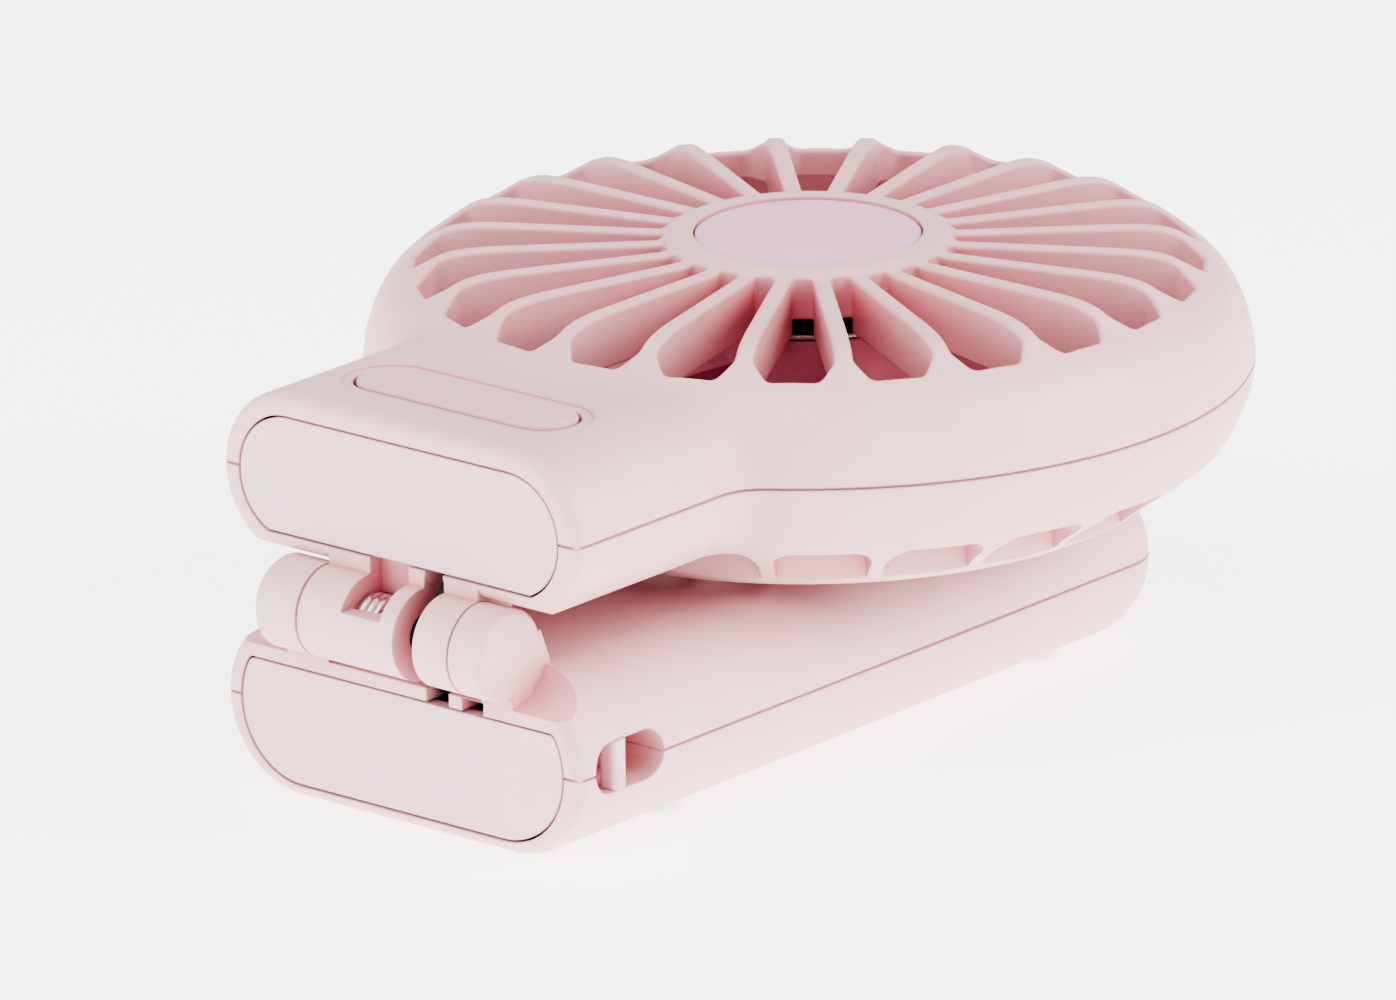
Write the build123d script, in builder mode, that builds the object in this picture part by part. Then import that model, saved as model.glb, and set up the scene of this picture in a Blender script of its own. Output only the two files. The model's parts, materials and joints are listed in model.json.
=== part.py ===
"""Folding handheld fan, folded flat on its handle. Millimetres, Z up.

The hinge axis runs along X. The head lies over the handle, towards +Y. The origin is on the
floor, under the middle of the folded fan.
"""

import os
from math import cos, hypot, radians, tan

from build123d import *

os.makedirs("parts", exist_ok=True)

# Driving dimensions
wall = 1.7

head_radius = 38.8
head_y = 10.0
head_bottom = 17.0
head_seam = 28.6
grille_top = 39.8
vane_top = 39.25

face_y = -44.55
hinge_y = face_y - 0.15
hinge_z = 17.8
barrel_radius = 4.1
scoop_radius = 4.8
pin_radius = 1.25
pin_fit = 0.05
spring_radius = 2.6

handle_width = 40.0
handle_thick = 16.0
handle_length = 80.7
handle_end_radius = 6.0
handle_seam = 8.0
handle_cap_top = 11.8

neck_radius = 7.5
neck_middle = 28.5
neck_bottom = 22.05
neck_cap_low = 23.4
neck_cap_high = 34.1
neck_blend = 4.5

hub_radius = 12.5
plate_radius = 10.0
hub_skirt = 35.7
vane_bottom = 34.4
vane_count = 24
vane_thick = 1.55
vane_phase = -90.0
slot_end = 34.2

rear_rib_count = 22
rear_rib_thick = 1.3
rear_phase = -89.5
rear_slot_top = 22.1
intake_ring = 31.0
rear_hub = 12.0

impeller_radius = 34.4
blade_count = 7
rotor_radius = 10.6
shaft_radius = 1.0

button_length = 23.0
button_width = 6.0
button_y = face_y + 9.2

# Hinge knuckles, left to right, as (start, end) along X
handle_knuckles = [(-12.8, -8.05), (9.1, 12.6)]
neck_knuckles = [(-7.8, 2.9), (5.1, 8.9)]

# Screws that close the neck, on both sides of the circuit board
boss_places = [(-13.5, face_y + 16.0), (13.5, face_y + 16.0)]

handle_boss_places = [(-13.8, -27.0), (13.8, -27.0), (-13.4, 24.5), (13.4, 24.5)]

strap_y = face_y + 6.5
strap_length = 8.9
strap_height = 4.4
strap_depth_x = 14.4

handle_loom_x = 3.46
neck_loom_x = 4.54
loom_radius = 0.48

battery_width = 22.6
battery_length = 46.0
battery_thick = 8.6
battery_y = -3.0
board_thick = 1.0
switch_low = 28.8

far_y = face_y + handle_length
light_places = [(-13.5 + 2.2 * index, 8.3) for index in range(4)]
front_pitch = 360 / vane_count
rear_pitch = 360 / rear_rib_count
front = Plane.XZ.offset(-face_y)
head_side = Plane.XZ.offset(-head_y)
head_axis = Axis((0, head_y, 0), (0, 0, 1))
hinge_side = Plane((0, hinge_y, hinge_z), x_dir=(0, 1, 0), z_dir=(1, 0, 0))


def slot_half(radius, thick, pitch):
    """Half the gap between two radial ribs of the given thickness and pitch, at a radius."""
    half_pitch = radians(pitch / 2)
    return radius * tan(half_pitch) - thick / 2 / cos(half_pitch)


def save(builder, name):
    """Label a finished part and write its STEP file."""
    builder.part.label = name
    export_step(builder.part, f"parts/{name}.step")


# Outer form of the head and neck, before it is cut into shells
with BuildPart() as neck_form:
    with BuildSketch(front):
        with Locations((0, neck_middle)):
            SlotOverall(handle_width, 2 * neck_radius)
        with Locations((0, neck_bottom - 5)):
            Rectangle(60, 10, mode=Mode.SUBTRACT)
    extrude(amount=-(head_y - face_y - 12))
    fillet(neck_form.faces().sort_by(Axis.Y)[0].edges(), 1.2)

with BuildPart() as head_form:
    with BuildSketch(head_side):
        with BuildLine():
            Spline(
                (head_radius, head_seam),
                (38.1, 32.4),
                (36.5, 35.3),
                (slot_end, 37.2),
                (26.8, vane_top),
                tangents=[(0, 1), (-1, 0)],
            )
            Line((26.8, vane_top), (hub_radius + 0.9, vane_top))
            Spline(
                (hub_radius + 0.9, vane_top),
                (hub_radius - 0.9, grille_top),
                tangents=[(-1, 0), (-1, 0)],
            )
            Line((hub_radius - 0.9, grille_top), (0, grille_top))
            Line((0, grille_top), (0, head_bottom))
            Line((0, head_bottom), (28.6, head_bottom))
            Spline(
                (28.6, head_bottom),
                (33.2, 19.75),
                (36.4, rear_slot_top),
                (38.2, 25.5),
                (head_radius, head_seam),
                tangents=[(1, 0.15), (0, 1)],
            )
        make_face()
    revolve(axis=head_axis)
    add(neck_form.part)
    blend = head_form.edges().filter_by(
        lambda e: abs(e.center().X) > 5 and head_y - 40 < e.center().Y < head_y - 20
    )
    blend = blend.filter_by(lambda e: e.bounding_box().size.Z > 1.5)
    fillet(blend, neck_blend)

# Hollow of the head and neck
with BuildPart() as head_hollow:
    with BuildSketch(head_side):
        with BuildLine():
            Polyline(
                (0, 18.8),
                (intake_ring - 1.5, 18.8),
                (intake_ring - 1.5, rear_slot_top - 0.2),
                (34.3, rear_slot_top - 0.2),
                (36.2, 25.2),
                (37.0, head_seam),
                (36.2, 32.4),
                (34.6, vane_bottom),
                (0, vane_bottom),
                (0, 18.8),
            )
        make_face()
    revolve(axis=head_axis)

with BuildPart() as neck_hollow:
    with BuildSketch(front) as neck_cap_outline:
        with Locations((0, neck_middle)):
            RectangleRounded(handle_width - 4.2, 2 * (neck_cap_high - neck_middle), 5.5)
        with Locations((0, neck_cap_low - 5)):
            Rectangle(60, 10, mode=Mode.SUBTRACT)
        fillet(neck_cap_outline.vertices().sort_by(Axis.Y)[:2], 0.8)
    extrude(amount=-(head_y - face_y - 34))

# Shadow line where the two housings of the head meet
with BuildPart() as head_groove:
    with BuildSketch(Plane.XY.offset(head_seam)) as seam_outline:
        with Locations((0, head_y)):
            Circle(head_radius)
        with Locations((0, face_y + 20)):
            Rectangle(handle_width, 40)
        inner_corners = seam_outline.vertices().filter_by(lambda v: abs(v.Y - face_y - 21) < 4)
        fillet(inner_corners, neck_blend)
        offset(amount=-0.25)
    extrude(amount=0.22)

with BuildPart() as head_groove_cut:
    with BuildSketch(Plane.XY.offset(head_seam)):
        Rectangle(140, 140)
    extrude(amount=0.22)
    add(head_groove.part, mode=Mode.SUBTRACT)

# One gap between two intake ribs on the rounded side
with BuildPart() as side_slot:
    inner = slot_half(intake_ring + 0.3, rear_rib_thick, rear_pitch)
    outer = slot_half(head_radius + 2, rear_rib_thick, rear_pitch)
    with BuildSketch(Plane.XY.offset(head_bottom - 2)):
        Polygon(
            (intake_ring + 0.3, -inner),
            (head_radius + 2, -outer),
            (head_radius + 2, outer),
            (intake_ring + 0.3, inner),
            align=None,
        )
    extrude(amount=rear_slot_top - head_bottom + 2)
    top_edges = side_slot.faces().sort_by(Axis.Z)[-1].edges()
    fillet(top_edges.filter_by(lambda e: abs(e.tangent_at(0.5).X) > 0.5), 1.9)

# Front housing: vanes, hub seat, button pocket, motor spigot and screw bosses
with BuildPart() as front_housing:
    add(head_form.part)
    split(bisect_by=Plane.XY.offset(head_seam), keep=Keep.TOP)
    add(head_groove_cut.part, mode=Mode.SUBTRACT)
    add(head_hollow.part, mode=Mode.SUBTRACT)
    add(neck_hollow.part, mode=Mode.SUBTRACT)
    with BuildSketch(Plane.XY.offset(vane_bottom - 1)):
        with Locations((0, head_y)):
            Circle(hub_radius)
    extrude(amount=hub_skirt - vane_bottom + 1, mode=Mode.SUBTRACT)
    with BuildSketch(Plane.XY.offset(vane_bottom - 1)):
        with Locations((0, head_y)):
            Circle(hub_radius - 1.4)
    extrude(amount=37.6 - vane_bottom + 1, mode=Mode.SUBTRACT)
    with BuildSketch(Plane.XY.offset(grille_top)):
        with Locations((0, head_y)):
            Circle(plate_radius)
    extrude(amount=-1.2, mode=Mode.SUBTRACT)
    outer = slot_half(slot_end - 1.8, vane_thick, front_pitch)
    inner = slot_half(hub_radius + 0.2, vane_thick, front_pitch)
    with BuildSketch(Plane.XY.offset(vane_bottom - 1)) as front_slots:
        with Locations((0, head_y)):
            with PolarLocations(0, vane_count, start_angle=vane_phase + front_pitch / 2):
                Polygon(
                    (hub_radius + 0.2, -inner),
                    (slot_end - 1.8, -outer),
                    (slot_end, 1.2 - outer),
                    (slot_end, outer - 1.2),
                    (slot_end - 1.8, outer),
                    (hub_radius + 0.2, inner),
                    align=None,
                )
        far_corners = front_slots.vertices().filter_by(
            lambda v: hypot(v.X, v.Y - head_y) > slot_end - 3
        )
        fillet(far_corners, 1.1)
    extrude(amount=9, mode=Mode.SUBTRACT)
    with BuildSketch(Plane.XY.offset(neck_middle + neck_radius)):
        with Locations((0, button_y)):
            SlotOverall(button_length + 2.6, button_width + 2.6)
    extrude(amount=-0.3, mode=Mode.SUBTRACT)
    recess_rim = front_housing.edges().filter_by(
        lambda e: abs(e.center().Z - neck_middle - neck_radius) < 0.01
        and abs(e.center().Y - button_y) < button_width
    )
    fillet(recess_rim, 0.28)
    with BuildSketch(Plane.XY.offset(neck_middle + neck_radius)):
        with Locations((0, button_y)):
            SlotOverall(button_length + 0.6, button_width + 0.6)
    extrude(amount=-4, mode=Mode.SUBTRACT)
    with BuildSketch(Plane.XY.offset(head_seam + 1.2)):
        with Locations(*boss_places):
            Circle(2.2)
    extrude(amount=neck_cap_high - head_seam - 1.1)
    with BuildSketch(Plane.XY.offset(head_seam)):
        with Locations(*boss_places):
            Circle(0.8)
    extrude(amount=4.6, mode=Mode.SUBTRACT)
    slot_rims = front_housing.edges().filter_by(
        lambda e: hub_radius + 0.1 < hypot(e.center().X, e.center().Y - head_y) < slot_end + 1.3
        and e.center().Z > 36.9
    )
    fillet(slot_rims, 0.35)
    with BuildSketch(Plane.XY.offset(vane_bottom - 1)):
        with Locations((0, head_y)):
            Circle(hub_radius + 0.5)
    extrude(amount=hub_skirt - vane_bottom + 1, mode=Mode.SUBTRACT)
save(front_housing, "front_housing")

# Rear housing: intake ribs, intake ring, neck floor and the two inner knuckles
with BuildPart() as rear_housing:
    add(head_form.part)
    split(bisect_by=Plane.XY.offset(head_seam), keep=Keep.BOTTOM)
    add(head_hollow.part, mode=Mode.SUBTRACT)
    add(neck_hollow.part, mode=Mode.SUBTRACT)
    inner = slot_half(rear_hub + 1, rear_rib_thick, rear_pitch)
    outer = slot_half(intake_ring - 2, rear_rib_thick, rear_pitch)
    with BuildSketch(Plane.XY.offset(head_bottom - 1)):
        with Locations((0, head_y)):
            with PolarLocations(0, rear_rib_count, start_angle=rear_phase + rear_pitch / 2):
                Polygon(
                    (rear_hub + 1, -inner),
                    (intake_ring - 2, -outer),
                    (intake_ring - 2, outer),
                    (rear_hub + 1, inner),
                    align=None,
                )
    extrude(amount=3, mode=Mode.SUBTRACT)
    with Locations((0, head_y)):
        with PolarLocations(0, rear_rib_count, start_angle=rear_phase + rear_pitch / 2):
            add(side_slot.part, mode=Mode.SUBTRACT)
    for start, end in neck_knuckles:
        with BuildSketch(hinge_side.offset(start)):
            Circle(barrel_radius)
            with BuildLine():
                Polyline(
                    (0.15, 0),
                    (0.15, neck_cap_low - hinge_z),
                    (4.8, neck_cap_low - hinge_z),
                    (4.8, neck_bottom - hinge_z),
                    (barrel_radius * cos(radians(20)), -barrel_radius * 0.34),
                    (0.15, 0),
                )
            make_face()
        extrude(amount=end - start)
    with BuildSketch(hinge_side.offset(neck_knuckles[0][0] - 1)):
        Circle(pin_radius + pin_fit)
    extrude(amount=neck_knuckles[1][1] - neck_knuckles[0][0] + 2, mode=Mode.SUBTRACT)
    with BuildSketch(front.offset(6)):
        with Locations((-1.0, neck_cap_low - 1.95)):
            Rectangle(4.3, 3.9)
    extrude(amount=-7.5, mode=Mode.SUBTRACT)
    with BuildSketch(front.offset(1)):
        with Locations((4.0, neck_cap_low - 1)):
            Rectangle(2.0, 3)
    extrude(amount=-5.6, mode=Mode.SUBTRACT)
    with BuildSketch(hinge_side.offset(-3.05)):
        Circle(spring_radius + 0.15)
    extrude(amount=2.6, mode=Mode.SUBTRACT)
    with BuildSketch(Plane.XY.offset(neck_cap_low - 0.2)):
        with Locations(*boss_places):
            Circle(2.2)
    extrude(amount=head_seam + 1.0 - neck_cap_low + 0.2)
    with BuildSketch(Plane.XY.offset(neck_bottom - 1)):
        with Locations(*boss_places):
            Circle(1.15)
    extrude(amount=10, mode=Mode.SUBTRACT)
    with BuildSketch(Plane.XY.offset(neck_bottom - 1)):
        with Locations(*boss_places):
            Circle(2.1)
    extrude(amount=3, mode=Mode.SUBTRACT)
save(rear_housing, "rear_housing")

# Outer form of the handle: a stadium section with a rounded far end
with BuildPart() as handle_form:
    with BuildSketch(front):
        with Locations((0, handle_thick / 2)):
            SlotOverall(handle_width, handle_thick)
    extrude(amount=-handle_length)
    fillet(handle_form.faces().sort_by(Axis.Y)[0].edges(), 1.2)
    fillet(handle_form.faces().sort_by(Axis.Y)[-1].edges(), handle_end_radius)
    with BuildSketch(hinge_side.offset(-handle_width)):
        Circle(scoop_radius)
    extrude(amount=2 * handle_width, mode=Mode.SUBTRACT)

# Hollow of the handle: the cap's pocket in front, then the battery space
with BuildPart() as handle_hollow:
    with BuildSketch(front) as handle_cap_outline:
        with Locations((0, handle_thick / 2)):
            RectangleRounded(handle_width - 3.7, handle_thick - 2.2, 6.8)
        with Locations((0, handle_cap_top + 5)):
            Rectangle(60, 10, mode=Mode.SUBTRACT)
        fillet(handle_cap_outline.vertices().sort_by(Axis.Y)[-2:], 0.8)
    extrude(amount=-8)
    with BuildSketch(front.offset(-7)):
        with Locations((0, handle_thick / 2)):
            SlotOverall(handle_width - 2 * wall, handle_thick - 2 * wall)
    extrude(amount=-(handle_length - 7 - wall))
    fillet(handle_hollow.faces().sort_by(Axis.Y)[-1].edges(), handle_end_radius - wall)

# Strap pocket: a rounded slot in the side with a solid wall behind it
with BuildPart() as strap_block:
    with BuildSketch(Plane.YZ.offset(strap_depth_x - wall)):
        with Locations((strap_y + 0.4, handle_seam + 0.25)):
            Rectangle(strap_length + 1.6, strap_height + 3)
    extrude(amount=handle_width / 2 - strap_depth_x)

with BuildPart() as strap_pocket:
    with BuildSketch(Plane.YZ.offset(strap_depth_x)):
        with Locations((strap_y, handle_seam + 0.25)):
            SlotOverall(strap_length, strap_height)
    extrude(amount=handle_width)

with BuildPart() as usb_cut:
    with BuildSketch(Plane.XZ.offset(-far_y + 8)):
        with Locations((0, handle_seam)):
            RectangleRounded(9.3, 3.6, 1.75)
    extrude(amount=-12)
    with BuildSketch(Plane.XZ.offset(-far_y + 8)):
        with Locations(*light_places):
            Circle(0.85)
    extrude(amount=-12)

with BuildPart() as handle_groove:
    with BuildSketch(Plane.XY.offset(handle_seam)) as handle_plan:
        with Locations((0, face_y + handle_length / 2)):
            Rectangle(handle_width, handle_length)
        fillet(handle_plan.vertices().sort_by(Axis.Y)[-2:], handle_end_radius)
        offset(amount=-0.25)
    extrude(amount=0.22)

with BuildPart() as handle_groove_cut:
    with BuildSketch(Plane.XY.offset(handle_seam)):
        Rectangle(140, 140)
    extrude(amount=0.22)
    add(handle_groove.part, mode=Mode.SUBTRACT)

# Upper handle shell, with the two outer knuckles that hold the hinge pin
with BuildPart() as handle_upper_shell:
    add(handle_form.part)
    add(handle_hollow.part, mode=Mode.SUBTRACT)
    add(strap_block.part)
    split(bisect_by=Plane.XY.offset(handle_seam), keep=Keep.TOP)
    add(handle_groove_cut.part, mode=Mode.SUBTRACT)
    for start, end in handle_knuckles:
        with BuildSketch(hinge_side.offset(start)):
            Circle(barrel_radius)
            with BuildLine():
                Polyline(
                    (0.15, 0),
                    (0.15, handle_cap_top - hinge_z),
                    (5.4, handle_cap_top - hinge_z),
                    (5.4, -2.3),
                    (barrel_radius * cos(radians(20)), barrel_radius * 0.36),
                    (0.15, 0),
                )
            make_face()
        extrude(amount=end - start)
    outer_ends = handle_upper_shell.edges().filter_by(GeomType.CIRCLE).filter_by(
        lambda e: abs(e.radius - barrel_radius) < 0.01
        and (e.center().X < handle_knuckles[0][0] + 0.1 or e.center().X > handle_knuckles[1][1] - 0.1)
    )
    fillet(outer_ends, 0.6)
    with BuildSketch(hinge_side.offset(handle_knuckles[0][0] + 1.2)):
        Circle(pin_radius)
    extrude(amount=handle_knuckles[1][1] - handle_knuckles[0][0] - 2.4, mode=Mode.SUBTRACT)
    with BuildSketch(front.offset(1)):
        with Locations((4.2, handle_cap_top + 1.0)):
            Rectangle(2.5, 3.6)
        with Locations((8.1, handle_cap_top + 0.2)):
            Rectangle(2.4, 1.9)
    extrude(amount=-6.8, mode=Mode.SUBTRACT)
    add(strap_pocket.part, mode=Mode.SUBTRACT)
    add(usb_cut.part, mode=Mode.SUBTRACT)
    with BuildSketch(Plane.XY.offset(handle_seam)):
        with Locations(*handle_boss_places):
            Circle(2.2)
    extrude(amount=handle_thick - wall - handle_seam + 0.4)
    with BuildSketch(Plane.XY.offset(handle_seam - 1)):
        with Locations(*handle_boss_places):
            Circle(0.8)
    extrude(amount=5.6, mode=Mode.SUBTRACT)
save(handle_upper_shell, "handle_upper_shell")

with BuildPart() as handle_lower_shell:
    add(handle_form.part)
    add(handle_hollow.part, mode=Mode.SUBTRACT)
    add(strap_block.part)
    split(bisect_by=Plane.XY.offset(handle_seam), keep=Keep.BOTTOM)
    add(strap_pocket.part, mode=Mode.SUBTRACT)
    add(usb_cut.part, mode=Mode.SUBTRACT)
    with BuildSketch(Plane.XY.offset(wall - 0.2)):
        with Locations(*handle_boss_places):
            Circle(2.2)
    extrude(amount=handle_seam - wall + 0.2)
    with BuildSketch(Plane.XY.offset(-1)):
        with Locations(*handle_boss_places):
            Circle(1.15)
    extrude(amount=12, mode=Mode.SUBTRACT)
    with BuildSketch(Plane.XY.offset(-1)):
        with Locations(*handle_boss_places):
            Circle(1.9)
    extrude(amount=3.6, mode=Mode.SUBTRACT)
save(handle_lower_shell, "handle_lower_shell")

# End caps: flush plates in the two end faces
with BuildPart() as handle_end_cap:
    with BuildSketch(front.offset(-0.05)):
        add(handle_cap_outline.sketch)
        offset(amount=-0.2)
    extrude(amount=-1.4)
save(handle_end_cap, "handle_end_cap")

with BuildPart() as neck_end_cap:
    with BuildSketch(front.offset(-0.05)):
        add(neck_cap_outline.sketch)
        offset(amount=-0.2)
    extrude(amount=-1.4)
save(neck_end_cap, "neck_end_cap")

# Strap bar across the mouth of the strap pocket
with BuildPart() as strap_bar:
    with BuildSketch(Plane.XY.offset(handle_seam + 0.25 - strap_height / 2)):
        with Locations((handle_width / 2 - 1.1, strap_y - 1.0)):
            RectangleRounded(1.9, 1.7, 0.5)
    extrude(amount=strap_height)
save(strap_bar, "strap_bar")

# Hinge pin, its friction spring and the sleeve over the wires between the knuckles
with BuildPart() as hinge_pin:
    with BuildSketch(hinge_side.offset(handle_knuckles[0][0] + 1.2)):
        Circle(pin_radius)
    extrude(amount=handle_knuckles[1][1] - handle_knuckles[0][0] - 2.4)
    chamfer(hinge_pin.edges().filter_by(GeomType.CIRCLE), 0.2)
save(hinge_pin, "hinge_pin")

with BuildPart() as friction_spring:
    for step in range(3):
        with BuildSketch(hinge_side.offset(-2.9 + 0.8 * step)):
            Circle(spring_radius)
            Circle(pin_radius + 0.02, mode=Mode.SUBTRACT)
        extrude(amount=0.7)
    outer_rims = friction_spring.edges().filter_by(GeomType.CIRCLE).filter_by(
        lambda e: abs(e.radius - spring_radius) < 0.01
    )
    fillet(outer_rims, 0.25)
    with BuildSketch(hinge_side.offset(-2.9)):
        with Locations((0, pin_radius + 0.35)):
            Rectangle(0.4, 0.4)
    extrude(amount=2.3)
save(friction_spring, "friction_spring")

with BuildPart() as cable_sleeve:
    with BuildSketch(hinge_side.offset(neck_knuckles[0][1] + 0.1)):
        Circle(pin_radius + 0.65)
        Circle(pin_radius + 0.02, mode=Mode.SUBTRACT)
    extrude(amount=neck_knuckles[1][0] - neck_knuckles[0][1] - 0.2)
save(cable_sleeve, "cable_sleeve")

# Wires: one run up to the sleeve from the handle, one from the sleeve into the neck
with BuildPart() as handle_wires:
    with BuildLine() as handle_route:
        Spline(
            (handle_loom_x, hinge_y, hinge_z - 1.95),
            (handle_loom_x, face_y + 2.2, handle_cap_top + 0.6),
            (handle_loom_x, face_y + 8.0, handle_seam + 1.5),
            tangents=[(0, 0, -1), (0, 1, -0.2)],
        )
    with BuildSketch(handle_route.line ^ 0):
        Circle(loom_radius)
    sweep()
save(handle_wires, "handle_wires")

with BuildPart() as neck_wires:
    with BuildLine() as neck_route:
        Spline(
            (neck_loom_x, hinge_y, hinge_z + 1.95),
            (neck_loom_x, face_y + 1.7, neck_bottom + 0.6),
            (neck_loom_x, face_y + 5.4, neck_cap_low + 1.6),
            tangents=[(0, 0, 1), (0, 1, 0.2)],
        )
    with BuildSketch(neck_route.line ^ 0):
        Circle(loom_radius)
    sweep()
save(neck_wires, "neck_wires")

# Battery, its protection board and the charging board with its socket and lights
with BuildPart() as battery_cell:
    with BuildSketch(Plane.XY.offset(wall + 1.1)):
        with Locations((0, battery_y)):
            RectangleRounded(battery_width, battery_length, 2.0)
    extrude(amount=battery_thick)
    fillet(battery_cell.edges().filter_by(Plane.XY), 1.0)
save(battery_cell, "battery_cell")

with BuildPart() as battery_pad:
    with BuildSketch(Plane.XY.offset(wall)):
        with Locations((0, battery_y)):
            Rectangle(20, battery_length - 12)
    extrude(amount=1.1)
save(battery_pad, "battery_pad")

with BuildPart() as protection_board:
    with BuildSketch(Plane.XZ.offset(-(battery_y - battery_length / 2 - 1.4))):
        with Locations((-2, wall + 1.1 + battery_thick / 2)):
            Rectangle(18, 4.0)
    extrude(amount=-1.0)
    with BuildSketch(Plane.XZ.offset(-(battery_y - battery_length / 2 - 1.4))):
        with Locations((-6, wall + 1.1 + battery_thick / 2), (0, wall + 1.1 + battery_thick / 2)):
            Rectangle(3.2, 2.4)
    extrude(amount=0.9)
save(protection_board, "protection_board")

with BuildPart() as charge_board:
    with BuildSketch(Plane.XY.offset(handle_seam - 1.85 - board_thick)):
        with Locations((0, far_y - 9.6)):
            Rectangle(19, 11)
    extrude(amount=board_thick)
    with BuildSketch(Plane.XY.offset(handle_seam - 1.85)):
        with Locations((-7.4, far_y - 12.5), (7.4, far_y - 12.5)):
            Rectangle(3.6, 3.6)
    extrude(amount=1.2)
save(charge_board, "charge_board")

with BuildPart() as usb_socket:
    with BuildSketch(Plane.XZ.offset(-(far_y - 8.6))):
        with Locations((0, handle_seam)):
            RectangleRounded(8.9, 3.2, 1.55)
            RectangleRounded(8.3, 2.6, 1.25, mode=Mode.SUBTRACT)
    extrude(amount=-8.1)
    with BuildSketch(Plane.XZ.offset(-(far_y - 8.6))):
        with Locations((0, handle_seam)):
            RectangleRounded(8.9, 3.2, 1.55)
    extrude(amount=-0.8)
    with BuildSketch(Plane.XZ.offset(-(far_y - 7.8))):
        with Locations((0, handle_seam)):
            Rectangle(6.7, 0.7)
    extrude(amount=-5.6)
    with BuildSketch(Plane.XY.offset(handle_seam - 1.85)):
        with Locations((-3.6, far_y - 7.4), (3.6, far_y - 7.4)):
            Rectangle(0.7, 1.4)
    extrude(amount=0.6)
save(usb_socket, "usb_socket")

with BuildPart() as charge_lights:
    with BuildSketch(Plane.XZ.offset(-(far_y - 5.0))):
        with Locations(*light_places):
            Circle(0.8)
    extrude(amount=-4.6)
save(charge_lights, "charge_lights")

# Screws: four close the handle, two close the neck
screws = {
    "handle_screws": (handle_boss_places, 1.2, 2.55, 11.8),
    "neck_screws": (boss_places, neck_bottom + 0.55, neck_bottom + 1.95, head_seam + 4.2),
}
for name, (places, head_low, head_high, tip) in screws.items():
    with BuildPart() as screw_set:
        with BuildSketch(Plane.XY.offset(head_low)):
            with Locations(*places):
                Circle(1.8)
        extrude(amount=head_high - head_low)
        with BuildSketch(Plane.XY.offset(head_high)):
            with Locations(*places):
                Circle(0.79)
        extrude(amount=tip - head_high)
        with BuildSketch(Plane.XY.offset(head_low)):
            with Locations(*places):
                Rectangle(2.2, 0.45)
                Rectangle(0.45, 2.2)
        extrude(amount=0.7, mode=Mode.SUBTRACT)
    save(screw_set, name)

# Hub plate with a small pry notch
with BuildPart() as hub_plate:
    with BuildSketch(Plane.XY.offset(grille_top - 1.2)):
        with Locations((0, head_y)):
            Circle(plate_radius - 0.15)
        with Locations((0.3, head_y - plate_radius + 0.1)):
            Rectangle(0.5, 0.8, mode=Mode.SUBTRACT)
    extrude(amount=1.0)
save(hub_plate, "hub_plate")

# Motor: base and coils stay with the front housing
with BuildPart() as motor_base:
    with BuildSketch(Plane.XY.offset(34.3)):
        with Locations((0, head_y)):
            Circle(hub_radius - 0.3)
    extrude(amount=hub_skirt - 34.3 - 0.05)
    with BuildSketch(Plane.XY.offset(hub_skirt - 0.05)):
        with Locations((0, head_y)):
            Circle(hub_radius - 1.7)
    extrude(amount=37.6 - hub_skirt + 0.05)
    with BuildSketch(Plane.XY.offset(27.0)):
        with Locations((0, head_y)):
            Circle(2.6)
    extrude(amount=34.3 - 27.0)
    with BuildSketch(Plane.XY.offset(26.5)):
        with Locations((0, head_y)):
            Circle(shaft_radius + 0.05)
    extrude(amount=10.0, mode=Mode.SUBTRACT)
save(motor_base, "motor_base")

with BuildPart() as motor_coils:
    with BuildSketch(Plane.XY.offset(28.2)):
        with Locations((0, head_y)):
            Circle(9.4)
            Circle(2.6, mode=Mode.SUBTRACT)
            with PolarLocations(7.2, 6, start_angle=30):
                SlotOverall(4.6, 1.3, rotation=0, mode=Mode.SUBTRACT)
    extrude(amount=4.4)
save(motor_coils, "motor_coils")

with BuildPart() as motor_rotor:
    with BuildSketch(Plane.XY.offset(25.2)):
        with Locations((0, head_y)):
            Circle(rotor_radius)
    extrude(amount=8.8)
    with BuildSketch(Plane.XY.offset(26.2)):
        with Locations((0, head_y)):
            Circle(rotor_radius - 0.8)
    extrude(amount=8, mode=Mode.SUBTRACT)
    with BuildSketch(Plane.XY.offset(33.6)):
        with Locations((0, head_y)):
            Circle(rotor_radius + 1.3)
            Circle(rotor_radius - 0.8, mode=Mode.SUBTRACT)
    extrude(amount=0.4)
    with BuildSketch(Plane.XY.offset(25.2)):
        with Locations((0, head_y)):
            Circle(shaft_radius)
    extrude(amount=1.0, mode=Mode.SUBTRACT)
save(motor_rotor, "motor_rotor")

with BuildPart() as motor_shaft:
    with BuildSketch(Plane.XY.offset(24.4)):
        with Locations((0, head_y)):
            Circle(shaft_radius)
    extrude(amount=11.6)
save(motor_shaft, "motor_shaft")

# One blade, pitched about its own radius
with BuildPart() as blade:
    for radius, angle, chord in [(rotor_radius + 0.6, 48, 9.6), (23.0, 36, 12.5), (impeller_radius, 27, 14.0)]:
        with BuildSketch(Plane((radius, 0, 27.6), x_dir=(0, 1, 0), z_dir=(1, 0, 0))):
            Rectangle(chord, 1.1, rotation=angle)
    loft()

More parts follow.
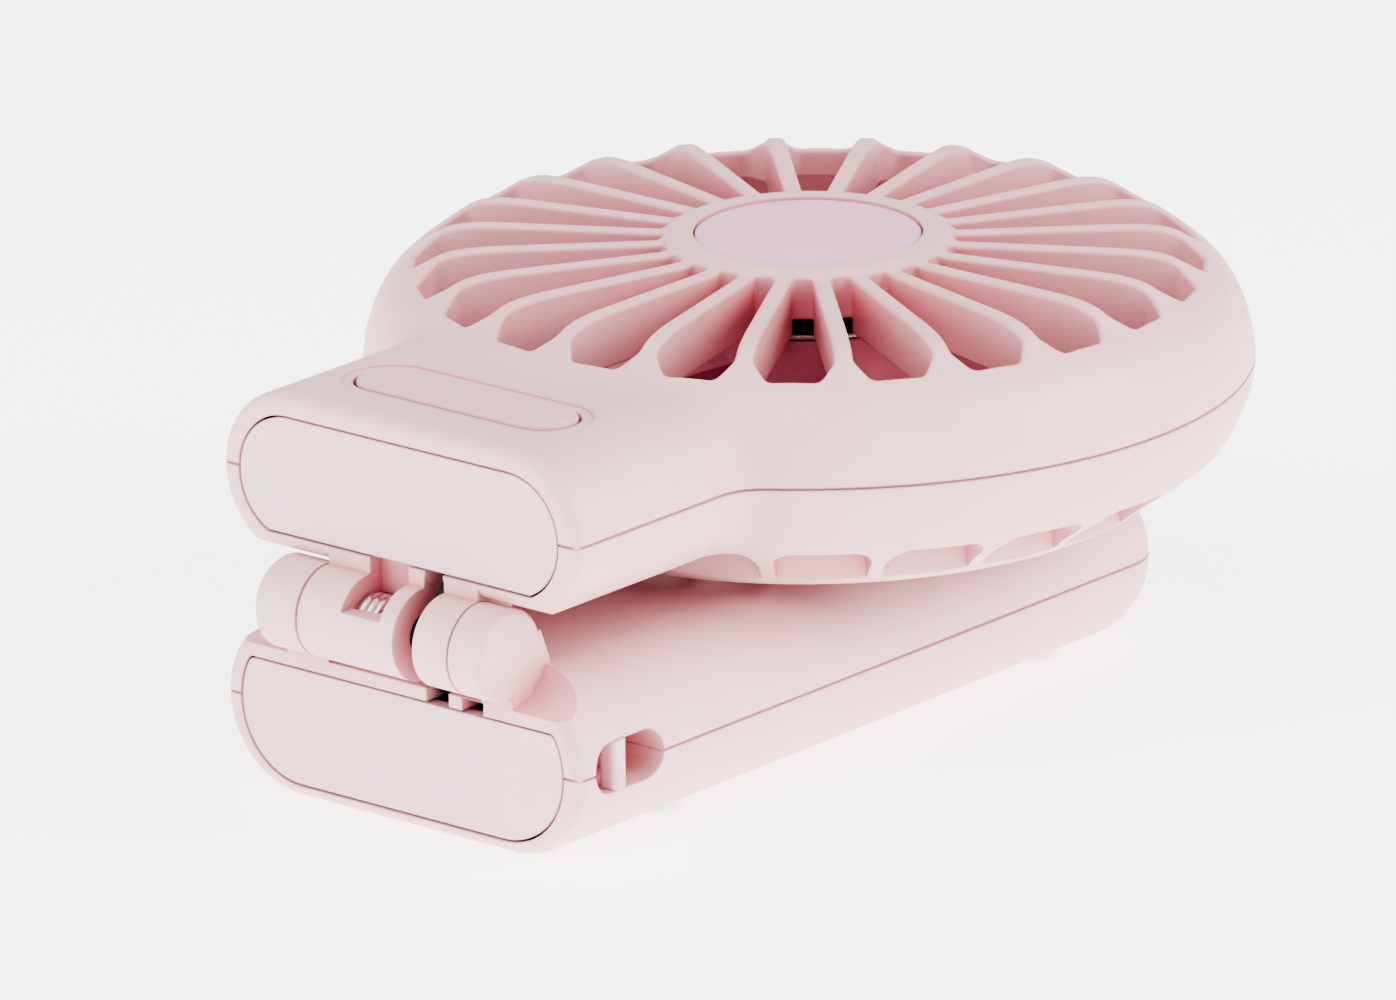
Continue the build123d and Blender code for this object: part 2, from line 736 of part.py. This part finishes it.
# Impeller: hub cup pressed over the rotor, and twisted blades
with BuildPart() as impeller:
    with BuildSketch(Plane.XY.offset(24.0)):
        with Locations((0, head_y)):
            Circle(rotor_radius + 1.2)
    extrude(amount=9.4)
    with BuildSketch(Plane.XY.offset(25.2)):
        with Locations((0, head_y)):
            Circle(rotor_radius)
    extrude(amount=9, mode=Mode.SUBTRACT)
    with BuildSketch(Plane.XY.offset(23.5)):
        with Locations((0, head_y)):
            Circle(shaft_radius)
    extrude(amount=2, mode=Mode.SUBTRACT)
    with Locations((0, head_y)):
        with PolarLocations(0, blade_count):
            add(blade.part)
save(impeller, "impeller")

# Speed button, its switch and the control board under it
with BuildPart() as speed_button:
    with BuildSketch(Plane.XY.offset(neck_middle + neck_radius - 3.2)):
        with Locations((0, button_y)):
            SlotOverall(button_length, button_width)
    extrude(amount=3.35)
    fillet(speed_button.faces().sort_by(Axis.Z)[-1].edges(), 0.5)
    with BuildSketch(Plane.XY.offset(neck_middle + neck_radius - 3.2)):
        with Locations((0, button_y)):
            SlotOverall(button_length + 2.4, button_width + 1.6)
    extrude(amount=-0.8)
    with BuildSketch(Plane.XY.offset(neck_middle + neck_radius - 4.0)):
        with Locations((0, button_y)):
            Circle(1.4)
    extrude(amount=-0.6)
save(speed_button, "speed_button")

with BuildPart() as tact_switch:
    with BuildSketch(Plane.XY.offset(switch_low)):
        with Locations((0, button_y)):
            Rectangle(5.0, 4.6)
    extrude(amount=1.5)
    with BuildSketch(Plane.XY.offset(switch_low + 1.5)):
        with Locations((0, button_y)):
            Circle(1.1)
    extrude(amount=0.4)
save(tact_switch, "tact_switch")

with BuildPart() as control_board:
    with BuildSketch(Plane.XY.offset(switch_low - board_thick)):
        with Locations((0, face_y + 9.0)):
            Rectangle(21, 12)
    extrude(amount=board_thick)
    with BuildSketch(Plane.XY.offset(switch_low)):
        with Locations((-7.6, face_y + 7), (7.6, face_y + 11)):
            Rectangle(3.4, 3.4)
    extrude(amount=1.0)
    with BuildSketch(Plane.XY.offset(neck_cap_low)):
        with Locations((-9.4, face_y + 14.0), (9.4, face_y + 14.0)):
            Rectangle(1.6, 1.6)
    extrude(amount=switch_low - board_thick - neck_cap_low)
save(control_board, "control_board")
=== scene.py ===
"""Finishes, lights and camera for a folding handheld fan, folded flat on its handle."""

import json
import math

import bmesh
import bpy
from mathutils import Matrix, Vector


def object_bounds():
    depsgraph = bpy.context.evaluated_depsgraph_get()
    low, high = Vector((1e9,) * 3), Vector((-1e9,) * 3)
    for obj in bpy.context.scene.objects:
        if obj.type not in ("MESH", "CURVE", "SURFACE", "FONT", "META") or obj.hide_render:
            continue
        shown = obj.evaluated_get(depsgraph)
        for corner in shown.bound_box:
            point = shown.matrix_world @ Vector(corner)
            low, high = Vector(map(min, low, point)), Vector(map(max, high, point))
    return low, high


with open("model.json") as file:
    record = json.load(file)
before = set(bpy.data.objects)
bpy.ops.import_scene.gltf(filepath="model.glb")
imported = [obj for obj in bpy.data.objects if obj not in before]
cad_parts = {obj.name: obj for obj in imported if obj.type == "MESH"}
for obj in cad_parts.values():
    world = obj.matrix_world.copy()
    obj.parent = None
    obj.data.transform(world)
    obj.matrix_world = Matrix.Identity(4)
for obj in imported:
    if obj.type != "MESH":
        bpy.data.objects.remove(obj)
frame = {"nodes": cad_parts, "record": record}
cad_low, cad_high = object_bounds()
middle = (cad_low + cad_high) / 2
nodes = frame["nodes"]

# Camera: a long lens, a little above the grille, from the hinge end
camera_turn = math.radians(40.21)
camera_rise = math.radians(17.98)
camera_roll = math.radians(-0.62)
camera_lens = 412.7
camera_far = 1.387
aim_right = -0.00334
aim_up = -0.00199

# Brightness of the surroundings, of the floor's own glow, and of the picture
world_light = 0.29
floor_glow = 0.42
exposure = 0.88
floor_half = 2.5
floor_gap = 0.00005

mm = 0.001

# How far light rounds off the moulded edges, in mm
edge_softness = 0.3

# How near its own walls a hollow gets the painted shade (a deeper pink tint), in mm
painted_shade_reach = 9.0


def node_tree(name):
    """A new material with an empty node tree, and its Principled shader wired to the output."""
    material = bpy.data.materials.new(name)
    material.use_nodes = True
    tree = material.node_tree
    tree.nodes.clear()
    shader = tree.nodes.new("ShaderNodeBsdfPrincipled")
    output = tree.nodes.new("ShaderNodeOutputMaterial")
    tree.links.new(shader.outputs["BSDF"], output.inputs["Surface"])
    return material, tree, shader


def grain(tree, place, size, detail, low, high, rough=0.5):
    """A noise of that grain size in metres, spread between low and high."""
    noise = tree.nodes.new("ShaderNodeTexNoise")
    noise.inputs["Scale"].default_value = 1 / size
    noise.inputs["Detail"].default_value = detail
    noise.inputs["Roughness"].default_value = rough
    tree.links.new(place, noise.inputs["Vector"])
    spread = tree.nodes.new("ShaderNodeMapRange")
    spread.inputs["From Min"].default_value = 0.3
    spread.inputs["From Max"].default_value = 0.7
    spread.inputs["To Min"].default_value = low
    spread.inputs["To Max"].default_value = high
    tree.links.new(noise.outputs["Fac"], spread.inputs["Value"])
    return spread.outputs["Result"]


def finish(
    name, colour, other, roughness, mottle=6.0, texture=0.25, relief=0.004, painted_shade_colour=None, **shader_values
):
    """A moulded or metal finish: two close colours in soft patches, uneven gloss and a fine grain.

    A painted shade colour takes over in the piece's own hollows and gaps: a deeper tint standing in for
    the shade and bounce light there, not the plastic's own colour.
    """
    material, tree, shader = node_tree(name)
    place = tree.nodes.new("ShaderNodeTexCoord").outputs["Object"]
    mix = tree.nodes.new("ShaderNodeMix")
    mix.data_type = "RGBA"
    mix.inputs["A"].default_value = (*colour, 1)
    mix.inputs["B"].default_value = (*other, 1)
    tree.links.new(grain(tree, place, mottle * mm, 2.0, 0.0, 1.0), mix.inputs["Factor"])
    if painted_shade_colour:
        # Painted shade: an ambient occlusion mask blends a deeper colour into the piece's hollows and
        # gaps, in place of shade and bounce light
        painted_shade_mask = tree.nodes.new("ShaderNodeAmbientOcclusion")
        painted_shade_mask.samples = 4
        painted_shade_mask.only_local = True
        painted_shade_mask.inputs["Distance"].default_value = painted_shade_reach * mm
        painted_shade_mix = tree.nodes.new("ShaderNodeMix")
        painted_shade_mix.data_type = "RGBA"
        painted_shade_mix.inputs["A"].default_value = (*painted_shade_colour, 1)
        tree.links.new(mix.outputs["Result"], painted_shade_mix.inputs["B"])
        tree.links.new(painted_shade_mask.outputs["AO"], painted_shade_mix.inputs["Factor"])
        tree.links.new(painted_shade_mix.outputs["Result"], shader.inputs["Base Color"])
    else:
        tree.links.new(mix.outputs["Result"], shader.inputs["Base Color"])
    low, high = roughness
    tree.links.new(grain(tree, place, 2.2 * mm, 3.0, low, high), shader.inputs["Roughness"])
    bump = tree.nodes.new("ShaderNodeBump")
    bump.inputs["Strength"].default_value = 0.5
    bump.inputs["Distance"].default_value = relief * mm
    tree.links.new(grain(tree, place, texture * mm, 2.0, 0.0, 1.0), bump.inputs["Height"])
    edges = tree.nodes.new("ShaderNodeBevel")
    edges.samples = 4
    edges.inputs["Radius"].default_value = edge_softness * mm
    tree.links.new(edges.outputs["Normal"], bump.inputs["Normal"])
    tree.links.new(bump.outputs["Normal"], shader.inputs["Normal"])
    for socket, value in shader_values.items():
        shader.inputs[socket.replace("_", " ")].default_value = value
    return material


finishes = {
    "pink": finish(
        "pale_pink_shell", (0.85, 0.575, 0.585), (0.835, 0.555, 0.57), (0.40, 0.52),
        # Painted shade: the deeper pink the shell takes on in its own hollows
        painted_shade_colour=(0.78, 0.25, 0.29),
    ),
    "cap": finish(
        "end_cap_satin", (0.83, 0.60, 0.62), (0.815, 0.585, 0.605), (0.36, 0.44),
    ),
    "button": finish(
        "button_satin", (0.85, 0.555, 0.56), (0.835, 0.535, 0.545), (0.40, 0.5),
    ),
    "plate": finish(
        "hub_plate_satin", (0.93, 0.53, 0.69), (0.915, 0.515, 0.675), (0.30, 0.4),
    ),
    "fan": finish(
        "impeller_pink", (0.76, 0.31, 0.40), (0.73, 0.29, 0.38), (0.32, 0.42),
    ),
    "steel": finish(
        "polished_steel", (0.80, 0.80, 0.81), (0.74, 0.74, 0.76), (0.12, 0.24),
        mottle=1.5, texture=0.08, relief=0.001, Metallic=1.0,
    ),
    "rotor": finish(
        "nickel_rotor", (0.72, 0.71, 0.70), (0.66, 0.65, 0.64), (0.16, 0.3),
        mottle=3.0, texture=0.1, relief=0.001, Metallic=1.0,
    ),
    "black": finish(
        "black_moulding", (0.02, 0.02, 0.022), (0.03, 0.03, 0.032), (0.4, 0.55),
    ),
    "wire": finish(
        "wire_sleeve", (0.014, 0.014, 0.015), (0.024, 0.024, 0.025), (0.45, 0.6),
        texture=0.12,
    ),
    "board": finish(
        "board_green", (0.02, 0.13, 0.06), (0.03, 0.16, 0.075), (0.3, 0.45),
    ),
    "foil": finish(
        "battery_foil", (0.60, 0.62, 0.65), (0.66, 0.67, 0.69), (0.28, 0.42),
        Metallic=0.9,
    ),
    "foam": finish(
        "foam_pad", (0.05, 0.05, 0.055), (0.075, 0.075, 0.08), (0.85, 0.95),
        texture=0.4, relief=0.05,
    ),
    "coil": finish(
        "copper_winding", (0.60, 0.24, 0.10), (0.52, 0.19, 0.08), (0.25, 0.4),
        mottle=0.6, Metallic=0.9,
    ),
    "light": finish(
        "light_guide", (0.86, 0.88, 0.90), (0.82, 0.85, 0.88), (0.1, 0.2),
        Transmission_Weight=0.6,
    ),
}

slot_of = {part["node"]: part["material_slot"] for part in frame["record"]["subparts"]}
for node, piece in nodes.items():
    for place in piece.material_slots:
        place.material = finishes[slot_of[node]]

# Floor and surroundings
bm = bmesh.new()
bmesh.ops.create_grid(bm, x_segments=1, y_segments=1, size=floor_half)
bmesh.ops.translate(bm, verts=bm.verts, vec=(0, 0, cad_low.z - floor_gap))
floor_mesh = bpy.data.meshes.new("floor")
bm.to_mesh(floor_mesh)
bm.free()
floor = bpy.data.objects.new("floor", floor_mesh)
bpy.context.scene.collection.objects.link(floor)
floor_finish, floor_tree, floor_shader = node_tree("floor_white")
floor_shader.inputs["Base Color"].default_value = (0.92, 0.92, 0.92, 1)
floor_shader.inputs["Emission Color"].default_value = (1, 1, 1, 1)
floor_shader.inputs["Emission Strength"].default_value = floor_glow
floor_shader.inputs["Roughness"].default_value = 0.9
floor_shader.inputs["Specular IOR Level"].default_value = 0.1
floor_mesh.materials.append(floor_finish)

world = bpy.data.worlds.new("studio")
world.use_nodes = True
sky = world.node_tree.nodes["Background"]
sky.inputs["Color"].default_value = (1.0, 0.99, 0.985, 1)
sky.inputs["Strength"].default_value = world_light
bpy.context.scene.world = world


def facing(turn, rise):
    """The direction from the object towards a place seen at that turn and rise, in degrees."""
    a, e = math.radians(turn), math.radians(rise)
    return Vector((math.sin(a) * math.cos(e), -math.cos(a) * math.cos(e), math.sin(e)))


def softbox(name, turn, rise, distance, size, power):
    """A square area light that points at the middle of the object."""
    data = bpy.data.lights.new(name, "AREA")
    data.shape = "SQUARE"
    data.size = size
    data.energy = power
    lamp = bpy.data.objects.new(name, data)
    lamp.location = middle + facing(turn, rise) * distance
    lamp.rotation_mode = "QUATERNION"
    lamp.rotation_quaternion = (-facing(turn, rise)).to_track_quat("-Z", "Y")
    bpy.context.scene.collection.objects.link(lamp)


softbox("key_light", 10, 62, 0.9, 0.7, 1.3)
softbox("left_light", -35, 20, 1.0, 0.6, 1.5)
softbox("right_light", 115, 30, 1.0, 0.6, 2.6)

# Camera
lens = bpy.data.cameras.new("camera")
lens.lens = camera_lens
lens.sensor_width = 36.0
lens.clip_start = 0.05
lens.clip_end = 20.0
camera = bpy.data.objects.new("camera", lens)
back = facing(math.degrees(camera_turn), math.degrees(camera_rise))
right = Vector((math.cos(camera_turn), math.sin(camera_turn), 0))
up = back.cross(right)
aim = middle + right * aim_right + up * aim_up
camera.matrix_world = Matrix.Translation(aim + back * camera_far) @ (
    Matrix((right, up, back)).transposed().to_4x4() @ Matrix.Rotation(camera_roll, 4, "Z")
)
bpy.context.scene.collection.objects.link(camera)
bpy.context.scene.camera = camera
view = bpy.context.scene.view_settings
view.view_transform = "AgX"
view.look = "AgX - Very High Contrast"
view.exposure = exposure
